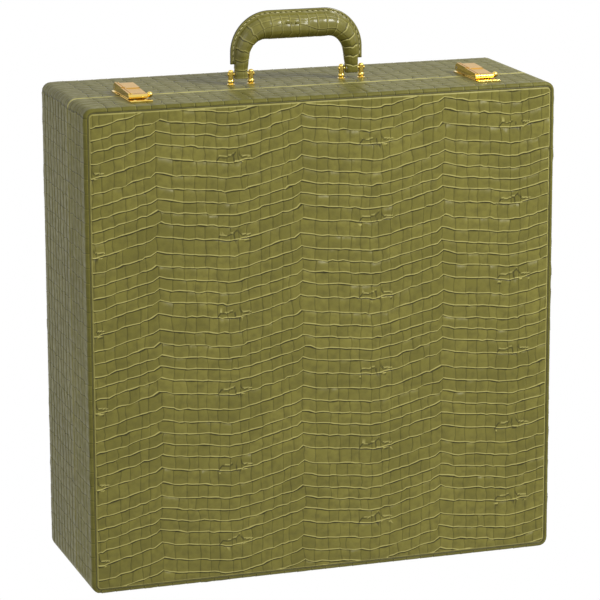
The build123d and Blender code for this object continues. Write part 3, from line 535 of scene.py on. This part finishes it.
def press_small_scales(bm, outward):
    """Presses the creases of the small scales that come once in each tile of the plate."""
    tint = bm.verts.layers.float["line"]
    # Those of the last tile and repeat would lie beyond the panel
    for tile in range(FIRST_TILE, FIRST_TILE + TILES - 1):
        for repeat in range(FIRST_REPEAT, FIRST_REPEAT + REPEATS - 1):
            ridge = Vector((TILE_LEFT + tile * TILE_WIDTH,
                            FIRST_ROW + SMALL_ROW + tile * TILE_RISE + repeat * TILE_HEIGHT))
            inside = [e for e in bm.edges if has_small_scales(e.verts[0].co, ridge)
                      and has_small_scales(e.verts[1].co, ridge)]
            if not inside:
                continue
            cut = bmesh.ops.subdivide_edges(bm, edges=inside, cuts=SMALL_CUTS, use_grid_fill=True)["geom"]
            touched = {v for g in cut if isinstance(g, bmesh.types.BMEdge) for v in g.verts}
            # All are chosen before any is moved, so that their order doesn't count
            for vert in [v for v in touched if max(edge.calc_length() for edge in v.link_edges) <= FINE_EDGE]:
                spot = Vector((vert.co.x - ridge.x, vert.co.z - ridge.y)) / MM
                deep, raised = line_relief(spot)
                vert.co.y += outward * (RIDGE_HEIGHT * raised - CREASE_DEPTH * deep) * MM
                # Painted highlight on the small scales' ridges, painted shade in their creases
                vert[tint] = stronger(vert[tint], RIDGE_TINT * raised if raised > deep else CREASE_TINT * deep)


def has_small_scales(spot, ridge):
    """Whether a point lies in the area of the small scales of one tile."""
    low, high = SMALL_AREA
    return low[0] < spot.x - ridge.x < high[0] and low[1] < spot.z - ridge.y < high[1]


def line_relief(spot):
    """How far a point, in millimetres, is in the crease and on the ridge of the nearest small scale's line."""
    deep = raised = 0.0
    for path in SMALL_SCALES:
        for start, end in zip(path, path[1:]):
            share = geometry.intersect_point_line(spot, Vector(start), Vector(end))[1]
            nearest = Vector(start).lerp(Vector(end), min(max(share, 0), 1))
            off = Vector((spot.x - nearest.x, spot.y - nearest.y))
            deep = max(deep, math.exp(-(off.length / CREASE_REACH) ** 2))
            if abs(end[0] - start[0]) > abs(end[1] - start[1]):
                off.y -= RIDGE_STEP
                raised = max(raised, math.exp(-(off.length / RIDGE_REACH) ** 2))
    return deep, raised


def trim_to_panel(bm):
    """Cuts the sheet to the panel's outline, less what turns back over its edge, with rounded corners."""
    radius = PANEL_CORNER - PANEL_TURN
    for side_x in (-1, 1):
        for side_z in (-1, 1):
            corner = corner_centre(side_x, side_z)
            for degrees in range(0, 91, CORNER_STEP):
                turn = math.radians(degrees)
                out = Vector((side_x * math.cos(turn), 0, side_z * math.sin(turn)))
                bmesh.ops.bisect_plane(bm, geom=bm.verts[:] + bm.edges[:] + bm.faces[:],
                                       plane_co=corner + out * radius, plane_no=out, clear_outer=True)


def corner_centre(side_x, side_z):
    """Centre of one rounded corner of the panel."""
    return Vector((side_x * (panel_high.x - PANEL_CORNER), 0,
                   panel_high.z - PANEL_CORNER if side_z > 0 else panel_low.z + PANEL_CORNER))


def turn_the_edge(bm, outward):
    """Turns the sheet's border round and back to the board."""
    tint = bm.verts.layers.float["line"]
    low, high = corner_centre(-1, -1), corner_centre(1, 1)
    border = [edge for edge in bm.edges if edge.is_boundary]
    for step in range(1, PANEL_TURN_STEPS + 1):
        last, turn = (math.pi / 2 * k / PANEL_TURN_STEPS for k in (step - 1, step))
        grown = bmesh.ops.extrude_edge_only(bm, edges=border)["geom"]
        for vert in verts_of(grown):
            held = Vector((min(max(vert.co.x, low.x), high.x), vert.co.y, min(max(vert.co.z, low.z), high.z)))
            out = (vert.co - held).normalized()
            # The turned edge gets a painted highlight
            vert[tint] = EDGE_PAINTED_HIGHLIGHT
            vert.co += out * PANEL_TURN * (math.sin(turn) - math.sin(last))
            vert.co.y += outward * PANEL_TURN * (math.cos(turn) - math.cos(last))
        border = [g for g in grown if isinstance(g, bmesh.types.BMEdge) and g.is_boundary]
    bmesh.ops.holes_fill(bm, edges=border, sides=0)
    bmesh.ops.recalc_face_normals(bm, faces=bm.faces)


# The leather of the walls
straight = half_width - CORNER
corner_run = math.pi / 2 * CORNER
# Lengths of the legs of the case's outline, on the way round from the middle of its foot, to the right
OUTLINE = (straight, corner_run) + (2 * straight, corner_run) * 3 + (straight,)
UPRIGHT, LEVEL, TOP = (2, 6), (0, 4, 8), 4


def outline_point(along, inset):
    """Point at a distance along the outline and inset from it, and the number of its leg."""
    spot, turn = Vector((0, 0)), 0.0
    for leg, length in enumerate(OUTLINE):
        here = min(along, length)
        if leg % 2 == 0:
            spot += Vector((math.cos(turn), math.sin(turn))) * here
        else:
            centre = spot + Vector((-math.sin(turn), math.cos(turn))) * CORNER
            turn += here / CORNER
            spot = centre + Vector((math.sin(turn), -math.cos(turn))) * CORNER
        along -= here
        if along <= 0:
            break
    return spot.x - math.sin(turn) * inset, spot.y + math.cos(turn) * inset, leg


def outline_lines():
    """Lines across the walls' leather, on its way round the case."""
    lines, run, first = [], 0.0, 0
    corner_faces = 5
    for leg, length in enumerate(OUTLINE):
        if leg % 2:
            lines.extend(plain([run + length * k / corner_faces for k in range(corner_faces)], first + 0.5))
            count = 1
        else:
            count = round(length / WALL_SCALE)
            lines.extend(knots([length / count] * count, first, run)[:-1])
        first += count
        run += length
    return lines + plain([run], first)


def wall_section(deep):
    """Section of a casing's leather: rows of distance along it, depth behind the rim and inset, and its lines."""
    section, run = [], 0.0
    for degrees in range(0, 90, RIM_STEP):
        turn = math.radians(degrees)
        section.append((run, RIM_TURN * (1 - math.cos(turn)), RIM_TURN * (1 - math.sin(turn))))
        run += RIM_TURN * math.radians(RIM_STEP)
    wide = deep - EDGE_TURN - RIM_TURN
    count = round(wide / WALL_ROW)
    lines = plain([row[0] for row in section]) + knots([wide / count] * count, 1, run)[1:-1]
    section.append((run, RIM_TURN, 0.0))
    run += wide
    section.append((run, RIM_TURN + wide, 0.0))
    hair = 0.001 * MM  # no two rows may be at one distance
    for degrees in range(0, 91, CORNER_STEP):
        turn = math.radians(degrees)
        section.append((run + EDGE_TURN * turn + hair, deep - EDGE_TURN * (1 - math.sin(turn)),
                        EDGE_TURN * (1 - math.cos(turn))))
        lines += plain([section[-1][0]], count + 1)
    # In under the panel's edge and back along the boards to the rim, in rows a nominal 1 mm apart
    inside = deep - HIDE_THICKNESS
    for depth, inset in ((inside, EDGE_TURN), (inside, HIDE_THICKNESS), (0.0, HIDE_THICKNESS), (0.0, RIM_TURN)):
        section.append((section[-1][0] + MM, depth, inset))
        lines += plain([section[-1][0]])
    return section, lines


def walls_hide(name, rim_y, face_y, body, stands_for):
    """The leather round the walls: turned over the outer edge, cut clean at the parting line."""
    direction = 1 if face_y > rim_y else -1
    section, up = wall_section(abs(face_y - rim_y))
    total = sum(OUTLINE)

    def put(column, row):
        depth, inset = read_off(section, row.at)
        along, height, tint = column.at, 0.0, 0.0
        leg = outline_point(along, 0)[2]
        across_strength, along_strength = (
            UPRIGHT_GRAIN if leg in UPRIGHT else LEVEL_GRAIN if leg in LEVEL else CORNER_GRAIN)
        if inset == 0.0 and depth > RIM_TURN:
            # The tint paints a highlight on the ridges and a shade in the creases
            height = across_strength * column.height + along_strength * row.height
            tint = stronger(across_strength * column.tint, along_strength * row.tint)
            tint = min(tint, WALL_RIDGE_TINT)
            if leg in UPRIGHT + LEVEL and 0 < along < total:
                along += WALL_SCALE_WANDER * wander(along * 60, depth * 90, 3)
                if leg == TOP and direction > 0:
                    along += RIM_SWEEP * max(0.0, 1 - depth / RIM_SWEEP_DEPTH) ** 2
            row_wander = UPRIGHT_ROW_WANDER if leg in UPRIGHT else LEVEL_ROW_WANDER
            depth += row_wander * wander(along * 75, depth * 80, 9)
        elif depth > RIM_TURN and inset < EDGE_TURN:
            # The same painted highlight and shade where the lines run over the outer edge
            height = EDGE_GRAIN * across_strength * column.height
            tint = min(EDGE_GRAIN * across_strength * column.tint, EDGE_RIDGE_TINT)
        elif depth <= RIM_TURN:
            # Painted highlight along the rounded rim at the parting line
            tint = UPRIGHT_RIM_HIGHLIGHT if leg in UPRIGHT else LEVEL_RIM_HIGHLIGHT
        x, z, leg = outline_point(along, inset - height)
        set_back = SWING_SLOPE * (hinge_z - z)
        if z < foot_top and abs(x) < slot_half:
            set_back = SLOT_CUT
        depth += min(max(set_back, 0.0), SLOT_CUT) * max(0.0, 1 - depth / SLOT_FADE)
        return Vector((x, rim_y + direction * depth, z)), tint

    bm = gridded(outline_lines(), up, put)
    close_up(bm)
    return finished(bm, name, walls, body, stands_for)


# The handle
def grip_line(at):
    """Middle of the grip at a distance from the foot of its left leg, and the way out from the hand's gap."""
    if at > HALF_GRIP:
        spot, out = grip_line(2 * HALF_GRIP - at)
        return Vector((-spot.x, spot.y)), Vector((-out.x, out.y))
    if at < GRIP_LEG:
        return Vector((-LEG_X, grip_foot + at)), Vector((-1, 0))
    turn = min((at - GRIP_LEG) / BEND, math.pi / 2)
    out = Vector((-math.cos(turn), math.sin(turn)))
    beyond = at - GRIP_LEG - turn * BEND
    return Vector((-LEG_X + BEND + beyond, LEG_TOP)) + out * BEND, out


def grip_hide():
    """The rolled grip: hide drawn round a cord and closed along its outer side, under the welt."""
    across = knots([2 * HALF_GRIP / GRIP_RINGS] * GRIP_RINGS)
    up = knots([GRIP_RUN] * GRIP_RUNS, GRIP_FIRST_CELL)
    total = GRIP_RUN * GRIP_RUNS

    def put(column, row):
        turn = 2 * math.pi * row.at / total
        loose = math.sin(turn / 2)
        from_foot = min(column.at, 2 * HALF_GRIP - column.at)
        side = 1 if column.at < HALF_GRIP else -1
        front = max(0.0, -math.sin(turn)) ** 2
        sag = RING_SAG * front * max(0.0, 1 - from_foot / SAG_REACH) * min(1, from_foot / SAG_START)
        at = column.at - side * sag
        if from_foot > FERRULE:
            at += RING_WANDER * loose * wander(column.at * 70, row.cell * 1.2, 5)
        half, depth, stand, power = read_off(GRIP_SECTIONS, min(at, 2 * HALF_GRIP - at) / MM)
        spot, out = grip_line(at)
        on_bar = min(1.0, max(0.0, (from_foot - BAR_START) / BAR_FADE))
        rings = part_way(LEG_RINGS, BAR_RINGS, on_bar)
        runs = part_way(LEG_RUNS, BAR_RUNS, on_bar) * loose
        turn += part_way(LEG_TWIST, BAR_TWIST, on_bar) * loose * wander(column.at * 36, row.cell * 0.7, 8)
        height = rings * column.height + runs * row.height
        swell = (abs(math.cos(turn)) ** power + abs(math.sin(turn)) ** power) ** (-1 / power)
        wide = half * MM * swell + height
        thick = depth * MM * swell + height
        place = spot + out * (wide * math.cos(turn)) + Vector((-side * stand * MM, 0))
        # The tint paints a highlight on the ridges and a shade in the creases of the grip
        tint = stronger(rings * column.tint, runs * row.tint)
        return Vector((place.x, handle_y + thick * math.sin(turn), place.y)), tint

    bm = gridded(across, up, put)
    close_up(bm)
    return finished(bm, "grip_hide", handle_hide, "handle", ["handle_grip"])


def welt_line(at, inset):
    """Point of the welt at a distance from its left foot along its outer edge, and its heading."""
    if at > HALF_WELT:
        spot, heading = welt_line(2 * HALF_WELT - at, inset)
        return Vector((-spot.x, spot.y)), -heading
    turn = min(max(at - WELT_LEG, 0) / WELT_CORNER, math.pi / 2)
    out = Vector((-math.cos(turn), math.sin(turn)))
    beyond = max(at - WELT_LEG, 0) - turn * WELT_CORNER
    centre = Vector((-welt_high.x + WELT_CORNER + beyond, welt_low.z + min(at, WELT_LEG)))
    return centre + out * (WELT_CORNER - inset), math.pi / 2 - turn


def handle_edge():
    """The flat welt: two edges of hide sewn together along the outer side of the grip, their cut edge painted."""
    section = list(WELT_SECTION) + [(inset, -half, tint) for inset, half, tint in WELT_SECTION[:0:-1]]
    section.append(WELT_SECTION[0])
    across = plain([2 * HALF_WELT * k / WELT_STEPS for k in range(WELT_STEPS + 1)])

    def put(column, row):
        inset, half, tint = section[round(row.at)]
        spot = welt_line(column.at, inset * MM)[0]
        ripple = WELT_RIPPLE * wander(column.at * 160, inset, 2)
        return Vector((spot.x, handle_y + half * MM + ripple * min(1, inset), spot.y)), tint

    bm = gridded(across, plain(range(len(section))), put)
    close_up(bm)
    return finished(bm, "handle_edge_leather", handle_hide, "handle", ["handle_welt"])


def handle_stitches():
    """Saddle stitches along both faces of the welt."""
    count = int(2 * HALF_WELT / STITCH_PITCH)
    first = (2 * HALF_WELT - count * STITCH_PITCH) / 2
    size = Matrix.Diagonal((STITCH_LENGTH / 2, THREAD_DEPTH, THREAD, 1))
    bm = bmesh.new()
    for number in range(count):
        spot, heading = welt_line(first + (number + 0.5) * STITCH_PITCH, STITCH_INSET)
        for side in (-1, 1):
            lean = Matrix.Rotation(-heading - side * STITCH_SLANT, 4, "Y")
            place = Matrix.Translation((spot.x, handle_y + side * STITCH_PLACE, spot.y))
            bmesh.ops.create_uvsphere(bm, u_segments=6, v_segments=6, radius=1.0,
                                      matrix=place @ lean @ size @ Matrix.Rotation(math.pi / 2, 4, "Y"))
    return finished(bm, "handle_stitches", thread, "handle")


# The inside
def padded_lid():
    """Padded inside of the lid: velvet over wadding, sewn down in upright channels, drawn in at its edges."""
    flute = (cushion_high.x - cushion_low.x) / FLUTES
    tall = cushion_high.z - cushion_low.z
    across = plain([cushion_low.x + flute * k / FLUTE_STEPS for k in range(FLUTES * FLUTE_STEPS + 1)])
    up = plain([cushion_low.z + tall * k / PAD_ROWS for k in range(PAD_ROWS + 1)])

    def put(column, row):
        share = (column.at - cushion_low.x) / flute % 1
        puff = math.sin(math.pi * share) ** FLUTE_ROUND
        ends = min(row.at - cushion_low.z, cushion_high.z - row.at) / DRAWN_IN
        full = math.sin(math.pi / 2 * min(1.0, max(0.0, ends))) ** END_ROUND
        pucker = wander(round(column.at / flute) * 3.1, row.at * 90, 6)
        height = PAD_DEPTH + (PAD_PUFF * puff + PAD_PUCKER * pucker * (1 - puff)) * MM
        y = cushion_low.y + max(PAD_EDGE, height * (DRAWN_SHARE + (1 - DRAWN_SHARE) * full))
        spread = 1 - CHANNEL_PULL * (1 - puff)
        z = row.at + PAD_PUCKER * MM * wander(column.at * 30, row.at * 20, 2) * full
        # The tint darkens the sewn channels: the seam and a painted shade in each channel's fold
        return Vector((column.at * spread, y, z)), -max(0.0, 1 - 3 * puff)

    bm = gridded(across, up, put)
    border = [edge for edge in bm.edges if edge.is_boundary]
    for vert in verts_of(bmesh.ops.extrude_edge_only(bm, edges=border)["geom"]):
        vert.co.y = cushion_low.y + PAD_BACK
    close_up(bm)
    piece = finished(bm, "lid_pad", velvet, "lid", ["lid_cushion"])


def ribbon_pull(tray, side):
    """Ribbon pull: glued inside the tray's rim, turned over in a loop and hanging into the compartment."""
    low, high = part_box(tray + "_ribbons")
    glued = high.y - low.y - RIBBON_BEND
    looped = math.pi * RIBBON_BEND
    length = glued + looped + RIBBON_HANGING
    wall = high.x - RIBBON_MIDDLE
    radius = RIBBON_BEND - RIBBON_MIDDLE
    strips = plain([k / RIBBON_STRIPS - 0.5 for k in range(RIBBON_STRIPS + 1)])
    rows = plain([length * k / RIBBON_STEPS for k in range(RIBBON_STEPS + 1)])

    def put(column, row):
        bent = row.at - glued
        hung = bent - looped
        if bent < 0:
            x, y = wall, low.y + RIBBON_BEND - bent
        elif hung < 0:
            turn = bent / RIBBON_BEND
            x, y = wall - radius * (1 - math.cos(turn)), low.y + RIBBON_BEND - radius * math.sin(turn)
        else:
            x = wall - 2 * radius - RIBBON_WAVE * math.sin(hung / RIBBON_HANGING * RIBBON_ANGLE) ** 2
            y = low.y + RIBBON_BEND + hung
        cup = RIBBON_CUP * (2 * column.at) ** 2 if bent > 0 else 0.0
        return Vector((side * (x + cup), y, low.z + (column.at + 0.5) * (high.z - low.z))), 0.0

    bm = gridded(strips, rows, put)
    bmesh.ops.recalc_face_normals(bm, faces=bm.faces)
    bmesh.ops.solidify(bm, geom=bm.verts[:] + bm.edges[:] + bm.faces[:], thickness=RIBBON_THICKNESS)
    bmesh.ops.recalc_face_normals(bm, faces=bm.faces)
    name = f"{tray}_{'left' if side < 0 else 'right'}_pull"
    piece = finished(bm, name, ribbon, tray, [tray + "_ribbons"])


def dress(material, *words):
    """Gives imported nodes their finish, chosen by what their names hold; a later call counts more."""
    for name in sorted(nodes):
        if any(word in name for word in words):
            for slot in nodes[name].material_slots:
                slot.material = material


dress(wood, "_board", "_frame")
dress(velvet, "tray", "lining", "valance", "cushion")
dress(ribbon, "ribbons")
dress(strip, "piping", "foot_leather", "wrap", "panel", "grip", "welt")
dress(brass, "hinge", "posts", "plates", "rivets", "release", "handle_pins")
dress(brushed, "hasp")
dress(steel, "core", "nuts", "washers", "springs", "hasp_pins", "hinge_pins")

panel_hide("front_panel_hide", panel_low.y, -1, "lid", "lid_panel")
panel_hide("back_panel_hide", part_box("base_panel")[1].y, 1, "base", "base_panel")
walls_hide("lid_skin", lid_high.y, lid_low.y, "lid", ["lid_wrap", "lid_foot_leather"])
walls_hide("base_skin", base_low.y, base_high.y, "base", ["base_wrap", "base_foot_leather"])
grip_hide()
handle_edge()
handle_stitches()
padded_lid()
for tray in ("lower_tray", "upper_tray"):
    for side in (-1, 1):
        ribbon_pull(tray, side)


# Studio: white floor and world, soft lamps, and the photograph's camera
def seen_directly(tree):
    """Whether a ray comes from the camera, or by a mirror or glass."""
    path = add(tree, "LightPath").outputs
    seen = path["Is Camera Ray"]
    for kind in ("Is Glossy Ray", "Is Transmission Ray"):
        seen = add(tree, "Math", {0: seen, 1: path[kind]}, operation="MAXIMUM").outputs["Value"]
    return seen


def white_paper():
    """Uncoated white paper, matt, with a faint cloud; it shows as plain white."""
    material, tree, shader, place = new_material("white_paper", Roughness=0.9)
    tint = mix(tree, noise_of(tree, place, 40 * MM), linear("#fbfbfb"), linear("#ffffff"))
    tree.links.new(tint, shader.inputs["Base Color"])
    glow = add(tree, "Emission", {"Color": (1, 1, 1, 1), "Strength": 1.0})
    both = add(tree, "MixShader", {"Fac": seen_directly(tree)})
    tree.links.new(shader.outputs["BSDF"], both.inputs[1])
    tree.links.new(glow.outputs["Emission"], both.inputs[2])
    tree.links.new(both.outputs["Shader"], tree.nodes["Material Output"].inputs["Surface"])
    return material


def white_floor():
    """White floor, and a stand under the foot that ends behind the hinges, so that the lid can hang down."""
    paper = white_paper()
    drop = 100 * MM
    half_floor = 3.0
    bm = bmesh.new()
    bmesh.ops.create_grid(bm, x_segments=1, y_segments=1, size=half_floor)
    bmesh.ops.translate(bm, verts=bm.verts, vec=(0, 0, -drop))
    new_object(bm, "floor", paper)
    wide, deep, middle_y, gap = 420 * MM, 88 * MM, 31 * MM, 0.5 * MM
    bm = bmesh.new()
    bmesh.ops.create_cube(bm, size=1.0)
    bmesh.ops.scale(bm, verts=bm.verts, vec=(wide, deep, drop - gap))
    bmesh.ops.translate(bm, verts=bm.verts, vec=(0, middle_y, -(drop + gap) / 2))
    new_object(bm, "stand", paper)


def lamp(name, place, size, watts):
    """A square soft lamp that faces the case."""
    middle = Vector((0, 0, 0.25))
    data = bpy.data.lights.new(name, "AREA")
    data.size = size
    data.energy = watts
    lamp_object = bpy.data.objects.new(name, data)
    bpy.context.scene.collection.objects.link(lamp_object)
    lamp_object.location = place
    lamp_object.rotation_euler = (middle - Vector(place)).to_track_quat("-Z", "Y").to_euler()


def studio():
    """White room with a high key lamp in front to the right and a weak fill on the left."""
    glow, glow_seen = 0.33, 1.0
    world = bpy.data.worlds.new("white_room")
    bpy.context.scene.world = world
    world.use_nodes = True
    tree = world.node_tree
    background = tree.nodes["Background"]
    tree.links.new(between(tree, seen_directly(tree), 0, 1, glow, glow_seen), background.inputs["Strength"])
    background.inputs["Color"].default_value = (1, 1, 1, 1)
    lamp("key", place=(0.95, -0.85, 1.45), size=0.55, watts=27)
    lamp("fill", place=(-1.8, -1.3, 1.3), size=1.4, watts=11)


def photograph_camera():
    """Camera as the photograph was taken, solved from the case's edges: in front, a little to the left and above."""
    turn, tilt, lean = math.radians(-18.352), math.radians(13.535), math.radians(-0.167)
    distance = 2.71719
    target = Vector((-0.02372, -0.076, 0.25164))
    back = Vector((math.sin(turn) * math.cos(tilt), -math.cos(turn) * math.cos(tilt), math.sin(tilt)))
    right = (-back).cross(Vector((0, 0, 1))).normalized()
    up = right.cross(-back)
    leaned = math.cos(lean) * right + math.sin(lean) * up
    upright = math.cos(lean) * up - math.sin(lean) * right
    data = bpy.data.cameras.new("camera")
    data.lens = 185.64
    data.sensor_width = 36.0
    camera = bpy.data.objects.new("camera", data)
    bpy.context.scene.collection.objects.link(camera)
    camera.matrix_world = Matrix.Translation(target + back * distance) @ Matrix(
        (leaned, upright, back)).transposed().to_4x4()
    bpy.context.scene.camera = camera


white_floor()
studio()
photograph_camera()
bpy.context.scene.view_settings.view_transform = "Standard"
